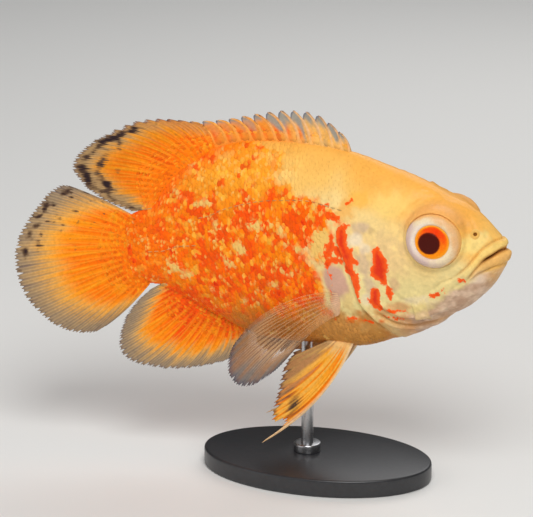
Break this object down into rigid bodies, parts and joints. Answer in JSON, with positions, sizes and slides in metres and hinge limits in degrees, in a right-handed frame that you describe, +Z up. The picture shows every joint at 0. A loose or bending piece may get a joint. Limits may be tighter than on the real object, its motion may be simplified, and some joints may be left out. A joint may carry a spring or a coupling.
{
  "type": "oscar fish display model",
  "caption": "Life-size model of a young orange oscar fish, swimming level, held over a flat oval base by a slim rod.",
  "frame": {"origin": "centre of the oval stand base's underside, on the floor", "axes": "+X towards the fish's snout, +Y towards the fish's left side, +Z up"},
  "size_m": [0.1681, 0.05, 0.1215],
  "materials": {
    "pale_skin": "wet scaleless skin, pale cream gold",
    "orange_skin": "wet scaled skin, vivid orange with red-orange and cream flecks",
    "fin": "translucent rayed membrane, orange at the root, greyish at the edge",
    "clear_fin": "clear rayed membrane with a peach tint",
    "eye": "wet cornea over a red-orange iris and a dark pupil",
    "black_lacquer": "satin black",
    "brushed_steel": "brushed"
  },
  "bodies": {
    "root": {"head": "pale_skin", "lower_jaw": "pale_skin", "gill_cover_right": "pale_skin", "gill_cover_left": "pale_skin", "torso": "orange_skin", "tail_stalk": "orange_skin", "eye_right": "eye", "eye_left": "eye", "dorsal_fin_spines": "fin", "dorsal_fin_soft": "fin", "anal_fin": "fin", "caudal_fin": "fin", "pectoral_fin_right": "clear_fin", "pectoral_fin_left": "clear_fin", "pelvic_fin_right": "fin", "pelvic_fin_left": "fin", "stand_base": "black_lacquer", "stand_rod": "brushed_steel"}
  },
  "joints": []
}
